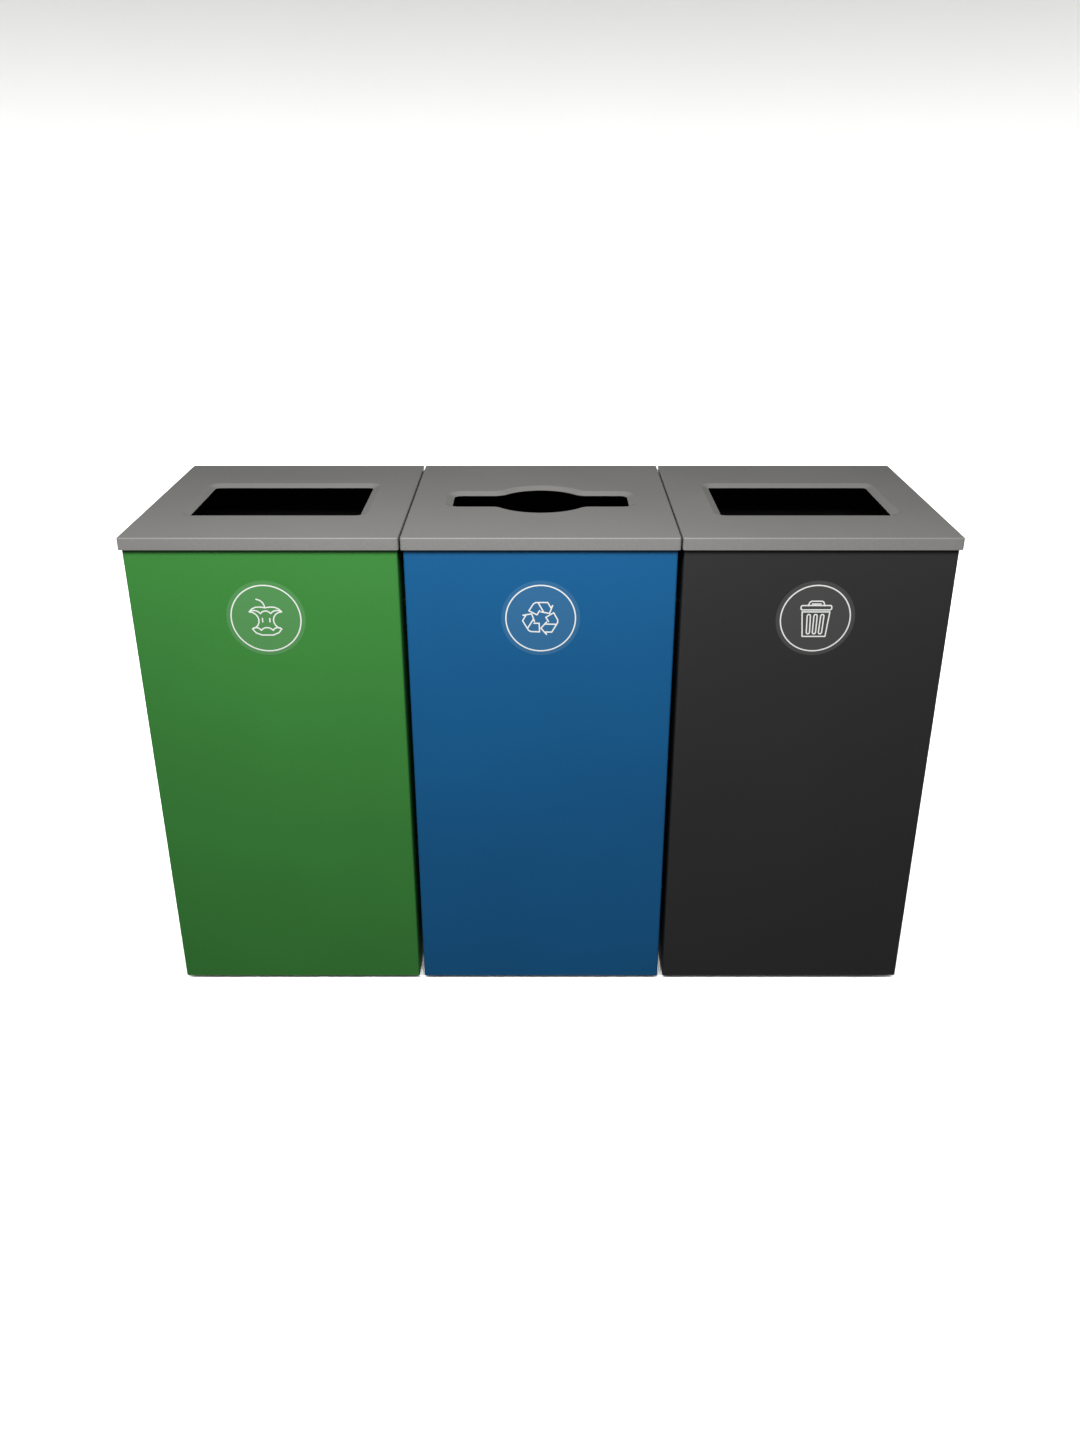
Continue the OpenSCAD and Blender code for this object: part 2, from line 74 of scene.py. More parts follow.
STREAMS = ("organics", "recycling", "waste")
PAINT_SLOT = {"organics": "green_powder_coat", "recycling": "blue_powder_coat",
              "waste": "charcoal_powder_coat"}
MM = 0.001
# Vertices nearer to one another than this are one.
WELD = 0.001 * MM
# The smallest corner where the wrap narrows to its rim, and the rim's outside bend in sheet thicknesses.
LEAST_BEND = 0.4 * MM
RIM_BEND = 1.4
# Faces round a fold, a corner, a curve of an opening and a bend of wire.
FOLD_STEPS = 4
CORNER_STEPS = 6
CURVE_STEPS = 12
WIRE_STEPS = 8


def linear(hex_colour):
    """An sRGB hex colour as linear red, green and blue."""
    channels = [int(hex_colour[i:i + 2], 16) / 255 for i in (1, 3, 5)]
    return tuple(c / 12.92 if c <= 0.04045 else ((c + 0.055) / 1.055) ** 2.4 for c in channels)


def length(name, description, default_mm, low_mm=0.0):
    """A length property whose default and least value are given in millimetres."""
    return FloatProperty(name=name, description=description, default=default_mm * MM, min=low_mm * MM,
                         unit="LENGTH", subtype="DISTANCE", precision=4)


def colour(name, description, hex_colour):
    """A colour property whose default is an sRGB hex colour."""
    return FloatVectorProperty(name=name, description=description, default=linear(hex_colour),
                               size=3, min=0.0, max=1.0, subtype="COLOR")


# ---- what a user would change -------------------------------------------------------------


class SheetSizes(bpy.types.PropertyGroup):
    """Sizes of the folded sheet and of the openings pressed into the lids."""

    sheet: length("Sheet", "Thickness of the steel sheet", 1.5, 0.5)
    bend: length("Body bend", "Outside radius of the body's front corners", 3.2, 2)
    rim: length("Rim flange", "Width of the flange turned in round the body's top", 15, 5)
    rear_flange: length("Rear flange", "Depth of the flanges down the rear panel's sides", 14, 5)
    fold: length("Lid fold", "Outside radius of the lid's folds", 2, 1.6)
    lid_corner: length("Lid corner", "Outside radius of the lid's upright corners", 3.5, 2.5)
    forward: length("Opening forward", "How far the openings lie in front of the lid's centre", 4)
    hole_w: length("Hole width", "Width of the rectangular hole", 260, 50)
    hole_d: length("Hole depth", "Depth of the rectangular hole", 170, 50)
    hole_r: length("Hole corner", "Corner radius of the rectangular hole", 7, 2)
    slot_w: length("Slot width", "Width of the mixed recycling slot", 277, 160)
    slot_d: length("Slot depth", "Depth of the mixed recycling slot", 70, 20)
    slot_r: length("Slot corner", "Corner radius of the slot", 12, 2)
    bulge: length("Bulge", "Diameter of the round bulge in the slot", 140, 80)
    blend: length("Blend", "Radius between slot and bulge", 30, 16)
    border_w: length("Border width", "Width of the sloping border round an opening", 12, 4)
    border_h: length("Border depth", "Depth of the sloping border", 5, 2)
    ease: length("Border fold", "Radius where the border folds down from the lid", 2.5, 0.5)


class LinerSizes(bpy.types.PropertyGroup):
    """Sizes of the moulded liner and its wire bail."""

    wall: length("Wall", "Thickness of the liner's wall", 3, 1)
    rim: length("Rim", "Width of the flat rim round the mouth", 12, 6)
    rim_t: length("Rim thickness", "Thickness of the rim", 4, 1)
    lip: length("Lip", "Radius that eases the rim's edges", 0.6, 0.1)
    rim_return: length("Rim return", "Width of the rim's turned-down edge", 2.4, 1)
    taper: length("Taper", "How much narrower the foot is than the mouth", 36)
    step_down: length("Step height", "How far below the rim the stacking step lies", 45, 20)
    step: length("Step depth", "How far the stacking step goes in", 2, 0.5)
    corner: length("Corner", "Outside radius of the upright corners", 25, 5)
    wire: length("Bail wire", "Radius of the bail's wire", 2.5, 1)
    wire_bend: length("Bail bend", "Radius of the bends in the bail's wire", 14, 5)
    pin_less: length("Pin step", "How much smaller the radius of the bail's pins is than the wire's", 0.7)
    pin_proud: length("Pin end", "How far the bail's pins stand out of the ears", 1)
    bail_gap: length("Bail gap", "Gap from the bail to the rim and the ears", 0.3, 0.1)
    ear: length("Ear", "Thickness of the ears that hold the bail", 3, 1)
    ear_r: length("Ear radius", "Radius of the round ears", 8, 4)


class FittingSizes(bpy.types.PropertyGroup):
    """Sizes of the rubber feet and of the hinges' rivets."""

    foot_bore: length("Foot bore", "Radius of the screw's hole through a foot", 3.2, 1)
    counterbore: length("Counterbore", "Radius of the recess that takes the screw's head", 6.5, 2)
    foot_seat: length("Foot seat", "Rubber left between the screw's head and the base pan", 1.75, 0.5)
    foot_edge: length("Foot edge", "Size of the eased edges of a foot", 2, 0.5)
    rivet_head: length("Rivet head", "Height of a rivet's dome", 1.2, 0.5)


class Finishes(bpy.types.PropertyGroup):
    """Colours of the painted, printed and moulded pieces."""

    organics: colour("Organics", "Powder coat of the organics bin", "#398437")
    recycling: colour("Recycling", "Powder coat of the mixed recycling bin", "#06598d")
    waste: colour("Waste", "Powder coat of the waste bin", "#2a2a2a")
    lids: colour("Lids", "Powder coat of the lids", "#838280")
    # Near-black painted shade: inside faces and cut edges of the bodies and lids take this colour where the
    # bins' inside lies in shade.
    inside: colour("Inside", "Near-black painted shade on the inside of the bodies and lids", "#0b0b0b")
    organics_disc: colour("Organics disc", "Tinted film behind the organics sign", "#529052")
    recycling_disc: colour("Recycling disc", "Tinted film behind the recycling sign", "#306996")
    waste_disc: colour("Waste disc", "Tinted film behind the waste sign", "#464646")
    lines: colour("Sign lines", "White film of the signs' rings and pictures", "#eceeea")


class StageSizes(bpy.types.PropertyGroup):
    """Where the camera stands and how strong the lights are."""

    camera_back: length("Camera back", "Distance from the lids' front edge to the camera", 1677)
    camera_up: length("Camera up", "Height of the camera above the lids", 508)
    camera_side: length("Camera side", "How far the camera stands to the right of the middle", 2.6)
    shift: FloatVectorProperty(name="Shift", description="Shift of the lens, in sensor widths", size=2,
                               default=(-0.0017, -0.0003))
    pitch: FloatProperty(name="Pitch", description="How far the camera looks down",
                         default=math.radians(25.38), subtype="ANGLE")
    lens: FloatProperty(name="Lens", description="Focal length", default=30.29, min=10)
    key: FloatProperty(name="Key light", description="Power of the front light", default=40.0, min=0)
    back: FloatProperty(name="Back light", description="Power of the rear light", default=28.0, min=0)
    side: FloatProperty(name="Side lights", description="Power of each end light", default=10.0, min=0)
    floor_sun: FloatProperty(name="Floor light", description="Strength of the sun on the floor",
                             default=7.0, min=0)
    room: FloatProperty(name="Room light", description="Strength of the even light", default=0.12, min=0)


# ---- materials ----------------------------------------------------------------------------


def node(tree, kind, inputs=None, **settings):
    """Adds a shader node, sets its properties and input values, and links inputs given as sockets."""
    made = tree.nodes.new(kind)
    for key, value in settings.items():
        setattr(made, key, value)
    for key, value in (inputs or {}).items():
        if isinstance(value, bpy.types.NodeSocket):
            tree.links.new(value, made.inputs[key])
        else:
            made.inputs[key].default_value = value
    return made


def new_material(name):
    """A new node material without any nodes, and its tree."""
    made = bpy.data.materials.new(name)
    made.use_nodes = True
    made.node_tree.nodes.clear()
    return made, made.node_tree


def shades(rgb, darker, lighter):
    """Two RGBA colours round one linear colour."""
    low = [min(1.0, c * darker) for c in rgb]
    high = [min(1.0, c * lighter) for c in rgb]
    return (*low, 1.0), (*high, 1.0)


def powder_coat(name, rgb, gloss=0.5):
    """Polyester powder sprayed on steel and baked: an even satin colour with a fine pebbled skin."""
    made, tree = new_material(name)
    place = node(tree, "ShaderNodeTexCoord").outputs["Object"]
    # Grains of about 1.6 mm: real ones are near 0.5 mm, too fine to show at this distance.
    grain = node(tree, "ShaderNodeTexNoise", {"Vector": place, "Scale": 1 / (1.6 * MM), "Detail": 3.0,
                                              "Roughness": 0.6})
    # Slow drift of the coat's thickness over about 220 mm of panel.
    drift = node(tree, "ShaderNodeTexNoise", {"Vector": place, "Scale": 1 / (220 * MM), "Detail": 2.0})
    low, high = shades(rgb, 0.8, 1.2)
    speckle = node(tree, "ShaderNodeMix", {"Factor": grain.outputs["Fac"], "A": low, "B": high},
                   data_type="RGBA")
    even = node(tree, "ShaderNodeMapRange", {"Value": drift.outputs["Fac"], "From Min": 0.3, "From Max": 0.7,
                                             "To Min": 0.965, "To Max": 1.035})
    tone = node(tree, "ShaderNodeVectorMath", {0: speckle.outputs["Result"], "Scale": even.outputs["Result"]},
                operation="SCALE")
    rough = node(tree, "ShaderNodeMapRange", {"Value": grain.outputs["Fac"], "To Min": gloss - 0.06,
                                              "To Max": gloss + 0.08})
    skin = node(tree, "ShaderNodeBump", {"Height": grain.outputs["Fac"], "Strength": 0.22,
                                         "Distance": 0.12 * MM})
    shader = node(tree, "ShaderNodeBsdfPrincipled", {"Base Color": tone.outputs["Vector"], "IOR": 1.5,
                                                     "Roughness": rough.outputs["Result"],
                                                     "Normal": skin.outputs["Normal"]})
    node(tree, "ShaderNodeOutputMaterial", {"Surface": shader.outputs["BSDF"]})
    return made


def zinc_plate(name="Zinc-plated steel"):
    """Bright zinc plating on sheet and screws: a cool, slightly clouded metal with small spangles."""
    made, tree = new_material(name)
    place = node(tree, "ShaderNodeTexCoord").outputs["Object"]
    # Spangles 3 mm wide: real ones are finer than 1 mm, too fine to show at this distance.
    spangle = node(tree, "ShaderNodeTexVoronoi", {"Vector": place, "Scale": 1 / (3 * MM)})
    cloud = node(tree, "ShaderNodeTexNoise", {"Vector": place, "Scale": 1 / (9 * MM), "Detail": 4.0})
    low, high = shades(linear("#a9acb0"), 0.82, 1.12)
    tone = node(tree, "ShaderNodeMix", {"Factor": spangle.outputs["Color"], "A": low, "B": high},
                data_type="RGBA")
    rough = node(tree, "ShaderNodeMapRange", {"Value": cloud.outputs["Fac"], "To Min": 0.26, "To Max": 0.48})
    skin = node(tree, "ShaderNodeBump", {"Height": cloud.outputs["Fac"], "Strength": 0.1,
                                         "Distance": 0.1 * MM})
    shader = node(tree, "ShaderNodeBsdfPrincipled", {"Base Color": tone.outputs["Result"], "Metallic": 1.0,
                                                     "Roughness": rough.outputs["Result"],
                                                     "Normal": skin.outputs["Normal"]})
    node(tree, "ShaderNodeOutputMaterial", {"Surface": shader.outputs["BSDF"]})
    return made


def drawn_wire(name="Drawn stainless wire"):
    """Stainless wire pulled through a die: bright, with fine lines that the die leaves."""
    made, tree = new_material(name)
    place = node(tree, "ShaderNodeTexCoord").outputs["Object"]
    # Die lines about 0.4 mm apart and some 20 mm long; they run along the crossbar.
    along = node(tree, "ShaderNodeMapping", {"Vector": place, "Scale": (0.02, 1.0, 1.0)})
    lines = node(tree, "ShaderNodeTexNoise", {"Vector": along.outputs["Vector"], "Scale": 1 / (0.4 * MM)})
    low, high = shades(linear("#bcbec0"), 0.88, 1.08)
    tone = node(tree, "ShaderNodeMix", {"Factor": lines.outputs["Fac"], "A": low, "B": high},
                data_type="RGBA")
    rough = node(tree, "ShaderNodeMapRange", {"Value": lines.outputs["Fac"], "To Min": 0.18, "To Max": 0.36})
    skin = node(tree, "ShaderNodeBump", {"Height": lines.outputs["Fac"], "Strength": 0.12,
                                         "Distance": 0.05 * MM})
    shader = node(tree, "ShaderNodeBsdfPrincipled", {"Base Color": tone.outputs["Result"], "Metallic": 1.0,
                                                     "Roughness": rough.outputs["Result"],
                                                     "Normal": skin.outputs["Normal"]})
    node(tree, "ShaderNodeOutputMaterial", {"Surface": shader.outputs["BSDF"]})
    return made


def moulded(name, hex_colour, roughness, grain_mm, relief_mm, ior):
    """Moulded rubber or plastic: one dark colour with the fine leathery grain of the mould."""
    made, tree = new_material(name)
    place = node(tree, "ShaderNodeTexCoord").outputs["Object"]
    grain = node(tree, "ShaderNodeTexVoronoi", {"Vector": place, "Scale": 1 / (grain_mm * MM)},
                 feature="SMOOTH_F1")
    # Dust lies in patches about 60 mm wide.
    dust = node(tree, "ShaderNodeTexNoise", {"Vector": place, "Scale": 1 / (60 * MM), "Detail": 5.0})
    low, high = shades(linear(hex_colour), 0.8, 1.3)
    tone = node(tree, "ShaderNodeMix", {"Factor": dust.outputs["Fac"], "A": low, "B": high}, data_type="RGBA")
    rough = node(tree, "ShaderNodeMapRange", {"Value": dust.outputs["Fac"], "To Min": roughness - 0.08,
                                              "To Max": roughness + 0.08})
    skin = node(tree, "ShaderNodeBump", {"Height": grain.outputs["Distance"], "Strength": 0.35,
                                         "Distance": relief_mm * MM})
    shader = node(tree, "ShaderNodeBsdfPrincipled", {"Base Color": tone.outputs["Result"], "IOR": ior,
                                                     "Roughness": rough.outputs["Result"],
                                                     "Normal": skin.outputs["Normal"]})
    node(tree, "ShaderNodeOutputMaterial", {"Surface": shader.outputs["BSDF"]})
    return made


def sign_film(name, rgb, roughness):
    """Cast vinyl film squeegeed on to the coat: smooth satin, with the coat's pebbles showing faintly."""
    made, tree = new_material(name)
    place = node(tree, "ShaderNodeTexCoord").outputs["Object"]
    # The film bridges the coat's grains, so its pebbles are wider than they are: about 2.2 mm.
    pebble = node(tree, "ShaderNodeTexNoise", {"Vector": place, "Scale": 1 / (2.2 * MM), "Detail": 2.0})
    low, high = shades(rgb, 0.96, 1.04)
    tone = node(tree, "ShaderNodeMix", {"Factor": pebble.outputs["Fac"], "A": low, "B": high},
                data_type="RGBA")
    rough = node(tree, "ShaderNodeMapRange", {"Value": pebble.outputs["Fac"], "To Min": roughness - 0.05,
                                              "To Max": roughness + 0.05})
    skin = node(tree, "ShaderNodeBump", {"Height": pebble.outputs["Fac"], "Strength": 0.1,
                                         "Distance": 0.08 * MM})
    shader = node(tree, "ShaderNodeBsdfPrincipled", {"Base Color": tone.outputs["Result"], "IOR": 1.48,
                                                     "Roughness": rough.outputs["Result"],
                                                     "Normal": skin.outputs["Normal"]})
    node(tree, "ShaderNodeOutputMaterial", {"Surface": shader.outputs["BSDF"]})
    return made


MADE = {}


def finish_of(slot):
    """The material for one of the frame's slots, made when it is first asked for."""
    if slot not in MADE:
        look = bpy.context.scene.station_finishes
        makers = {
            "green_powder_coat": lambda: powder_coat("Green powder coat", look.organics),
            "blue_powder_coat": lambda: powder_coat("Blue powder coat", look.recycling),
            "charcoal_powder_coat": lambda: powder_coat("Charcoal powder coat", look.waste),
            "warm_grey_powder_coat": lambda: powder_coat("Warm grey powder coat", look.lids, 0.46),
            "green_tint_vinyl": lambda: sign_film("Green tint film", look.organics_disc, 0.46),
            "blue_tint_vinyl": lambda: sign_film("Blue tint film", look.recycling_disc, 0.46),
            "charcoal_tint_vinyl": lambda: sign_film("Charcoal tint film", look.waste_disc, 0.46),
            "white_vinyl": lambda: sign_film("White sign film", look.lines, 0.42),
            "zinc_steel": zinc_plate,
            "stainless_wire": drawn_wire,
            # Near-black painted shade for the inside faces and cut edges of the bodies and lids.
            "painted_shade_inside": lambda: powder_coat("Near-black painted shade inside", look.inside, 0.7),
            "black_rubber": lambda: moulded("Black rubber", "#1b1b1b", 0.78, 0.9, 0.12, 1.5),
            "black_plastic": lambda: moulded("Black polyethylene", "#141516", 0.55, 1.4, 0.1, 1.54),
        }
        MADE[slot] = makers[slot]()
    return MADE[slot]


# ---- making pieces ------------------------------------------------------------------------


def smooth_object(name, bm, material):
    """Turns a bmesh into a smooth-shaded object in the scene."""
    mesh = bpy.data.meshes.new(name)
    bm.to_mesh(mesh)
    bm.free()
    mesh.shade_smooth()
    mesh.materials.append(material)
    made = bpy.data.objects.new(name, mesh)
    bpy.context.scene.collection.objects.link(made)
    return made


def piece(name, bm, body, slot, replaced, sharp=35.0):
    """Turns a bmesh into a piece that rides on a body and stands for a CAD node; sharp is in degrees."""
    made = smooth_object(name, bm, finish_of(slot))
    made.data.set_sharp_from_angle(angle=math.radians(sharp))
    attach(made, body)
    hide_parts(replaced)
    return made


def add_modifier(made, kind, **settings):
    """Adds a modifier with its settings."""
    modifier = made.modifiers.new(kind.title(), kind)
    for key, value in settings.items():
        setattr(modifier, key, value)


def thicken(made, thickness):
    """Gives a folded skin its thickness inwards, with near-black painted shade on its inside faces and cut
    edges, and eases its cut edges.
    """
    made.data.materials.append(finish_of("painted_shade_inside"))
    # The inside faces and the rim of cut edges take the near-black painted shade.
    add_modifier(made, "SOLIDIFY", thickness=thickness, offset=-1.0, use_even_offset=True, use_rim=True,
                 material_offset=1, material_offset_rim=1)
    add_modifier(made, "BEVEL", width=0.25 * MM, segments=2, limit_method="ANGLE",
                 angle_limit=math.radians(60), miter_outer="MITER_ARC")
    add_modifier(made, "WEIGHTED_NORMAL", keep_sharp=True, weight=80)


def chain(bm, points, closed=True):
    """Edges through the given points, in order."""
    verts = [bm.verts.new(p) for p in points]
    pairs = list(zip(verts, verts[1:])) + ([(verts[-1], verts[0])] if closed else [])
    return [bm.edges.new(pair) for pair in pairs]


def loft(bm, outlines, closed=True):
    """Bridges outlines with equal numbers of points; returns the first and last outline's edges."""
    loops = [chain(bm, points, closed) for points in outlines]
    for low, high in zip(loops, loops[1:]):
        bmesh.ops.bridge_loops(bm, edges=low + high)
    return loops[0], loops[-1]


def verts_of(geometry):
    """The vertices among the elements that a bmesh operator returns."""
    return [g for g in geometry if isinstance(g, bmesh.types.BMVert)]


def highest_face(bm):
    """The face whose middle is highest, and the largest of several."""
    return max(bm.faces, key=lambda f: (f.calc_center_median().z, f.calc_area()))


def face_outwards(bm, up_face=highest_face):
    """Turns an open skin so that the face picked by up_face looks along +Z."""
    bmesh.ops.recalc_face_normals(bm, faces=bm.faces[:])
    if up_face(bm).normal.z < 0:
        bmesh.ops.reverse_faces(bm, faces=bm.faces[:])


def arc(centre, radius, start, end, steps):
    """Points on an arc in the plan, angles in degrees."""
    angles = [math.radians(start + (end - start) * i / steps) for i in range(steps + 1)]
    return [(centre[0] + radius * math.cos(a), centre[1] + radius * math.sin(a)) for a in angles]


def four_quarters(quarter):
    """A whole outline from its first quarter, whose last point lies on the middle line."""
    back = quarter[-2::-1]
    return quarter + [(-x, y) for x, y in back] + [(-x, -y) for x, y in quarter] + [(x, -y) for x, y in back]


def rounded_quarter(width, depth, radius):
    """First quarter of a rounded rectangle, from its right side to the middle of its far side."""
    corner = (width / 2 - radius, depth / 2 - radius)
    return arc(corner, radius, 0, 90, CORNER_STEPS) + [(0, depth / 2)]


def mixed_quarter(size, grow):
    """First quarter of the slot with its round bulge, grown by the given amount."""
    reach = size.bulge / 2 + size.blend
    blend_y = size.slot_d / 2 + size.blend
    blend_x = math.sqrt(reach * reach - blend_y * blend_y)
    meet = math.degrees(math.atan2(blend_y, blend_x))
    corner = (size.slot_w / 2 - size.slot_r, size.slot_d / 2 - size.slot_r)
    return (arc(corner, size.slot_r + grow, 0, 90, CORNER_STEPS)
            + arc((blend_x, blend_y), size.blend - grow, 270, 180 + meet, CURVE_STEPS - 1)
            + arc((0, 0), size.bulge / 2 + grow, meet, 90, CURVE_STEPS)[1:])


def opening_outline(stream, size, grow):
    """Outline of a lid's opening, grown by the given amount."""
    if stream == "recycling":
        return four_quarters(mixed_quarter(size, grow))
    return four_quarters(rounded_quarter(size.hole_w + 2 * grow, size.hole_d + 2 * grow, size.hole_r + grow))


def at(outline, x, y, z):
    """A plan outline as points in space."""
    return [Vector((x + px, y + py, z)) for px, py in outline]


def make_lid(stream):
    """One lid, folded from a single sheet with its border pressed in."""
    size = bpy.context.scene.station_sheet
    low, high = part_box(f"{stream}_lid")
    x, y = (low.x + high.x) / 2, (low.y + high.y) / 2
    width, depth = high.x - low.x, high.y - low.y
    bm = bmesh.new()

    def edge_ring(inset, z):
        """Outline of the lid at height z, inset from its sides."""
        quarter = rounded_quarter(width - 2 * inset, depth - 2 * inset, size.lid_corner - inset)
        return at(four_quarters(quarter), x, y, z)

    skirt = [edge_ring(0, low.z), edge_ring(0, (low.z + high.z) / 2)]
    for step in range(CORNER_STEPS + 1):
        a = math.radians(90 * step / CORNER_STEPS)
        skirt.append(edge_ring(size.fold * (1 - math.cos(a)), high.z - size.fold * (1 - math.sin(a))))
    _, top_edge = loft(bm, skirt)
    # The border: a soft fold down from the flat, the slope, and the cut edge round the hole.
    slope = math.atan2(size.border_h, size.border_w)
    reach = size.ease * math.tan(slope / 2)
    border = []
    for step in range(FOLD_STEPS + 1):
        a = slope * step / FOLD_STEPS
        grow = size.border_w + reach - size.ease * math.sin(a)
        border.append((grow, high.z - size.ease * (1 - math.cos(a))))
    border.append((0.0, high.z - size.border_h))
    rings = [at(opening_outline(stream, size, grow), x, y - size.forward, z) for grow, z in border]
    fold_edge, _ = loft(bm, rings)
    bmesh.ops.triangle_fill(bm, use_beauty=True, edges=top_edge + fold_edge)
    face_outwards(bm)
    made = piece(f"{stream}_lid_panel", bm, f"{stream}_lid", "warm_grey_powder_coat", f"{stream}_lid")
    thicken(made, size.sheet)


def make_shell(stream):
    """One body wrap: front and sides bent from one sheet, its top turned in as a rim."""
    size = bpy.context.scene.station_sheet
    low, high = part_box(f"{stream}_shell")
    x = (low.x + high.x) / 2
    bm = bmesh.new()

    def wrap(inset, z):
        """Open outline of the sides and front at height z, inset from their outer faces."""
        half, front = (high.x - low.x) / 2 - inset, low.y + inset
        radius = max(size.bend - inset, LEAST_BEND)
        left = arc((-half + radius, front + radius), radius, 180, 270, CORNER_STEPS)
        right = arc((half - radius, front + radius), radius, 270, 360, CORNER_STEPS)
        return [Vector((x + px, py, z)) for px, py in [(-half, high.y)] + left + right + [(half, high.y)]]

    rings = [wrap(0, low.z), wrap(0, (low.z + high.z) / 2)]
    rim_bend = RIM_BEND * size.sheet
    for step in range(CORNER_STEPS + 1):
        a = math.radians(90 * step / CORNER_STEPS)
        rings.append(wrap(rim_bend * (1 - math.cos(a)), high.z - rim_bend * (1 - math.sin(a))))
    rings.append(wrap(size.rim, high.z))
    loft(bm, rings, closed=False)
    face_outwards(bm)
    made = piece(f"{stream}_body_wrap", bm, "station", PAINT_SLOT[stream], f"{stream}_shell")
    thicken(made, size.sheet)


def make_rear_panel(stream):
    """One rear panel: a flat sheet with its sides and the middle of its top folded forwards."""
    size = bpy.context.scene.station_sheet
    low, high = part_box(f"{stream}_rear_panel")
    rim_half = (high.x - low.x) / 2 + size.sheet - size.rim
    middle = (low.x + high.x) / 2
    columns = [low.x, middle - rim_half, middle + rim_half, high.x]
    # The side flanges stop 25 mm above the foot and 10 mm below the top.
    rows = [low.z, low.z + 25 * MM, high.z - 10 * MM, high.z - size.sheet]
    bm = bmesh.new()
    grid = [[bm.verts.new((x, high.y, z)) for x in columns] for z in rows]
    for below, above in zip(grid, grid[1:]):
        for i in range(3):
            bm.faces.new((below[i + 1], below[i], above[i], above[i + 1]))

    def draw_out(edge, offset):
        """Extrudes an edge, moves the new one and returns its vertices."""
        verts = verts_of(bmesh.ops.extrude_edge_only(bm, edges=[edge])["geom"])
        bmesh.ops.translate(bm, verts=verts, vec=offset)
        return verts

    folds = [bm.edges.get((grid[1][i], grid[2][i])) for i in (0, 3)]
    for edge in folds:
        draw_out(edge, (0, -size.rear_flange, 0))
    top = bm.edges.get(draw_out(bm.edges.get((grid[3][1], grid[3][2])), (0, 0, size.sheet)))
    draw_out(top, (0, low.y - high.y, 0))
    for edges, radius in ((folds, size.fold), ([top], 0.9 * size.sheet)):
        bmesh.ops.bevel(bm, geom=edges, offset=radius, segments=FOLD_STEPS, profile=0.5, affect="EDGES",
                        material=-1)
    face_outwards(bm)
    made = piece(f"{stream}_rear_sheet", bm, "station", PAINT_SLOT[stream], f"{stream}_rear_panel")
    thicken(made, size.sheet)


def ease_node(node_name, name, body, slot, edge_mm):
    """Makes a piece with the shape of a CAD node, its faces made whole and its edges eased."""
    bm = bmesh.new()
    bm.from_mesh(frame["nodes"][node_name].data)
    bmesh.ops.remove_doubles(bm, verts=bm.verts[:], dist=2 * WELD)
    bmesh.ops.dissolve_limit(bm, angle_limit=math.radians(1), verts=bm.verts[:], edges=bm.edges[:])
    made = piece(name, bm, body, slot, node_name, sharp=40)
    add_modifier(made, "BEVEL", width=edge_mm * MM, segments=2, limit_method="ANGLE",
                 angle_limit=math.radians(50), use_clamp_overlap=True)
    add_modifier(made, "WEIGHTED_NORMAL", keep_sharp=True, weight=80)


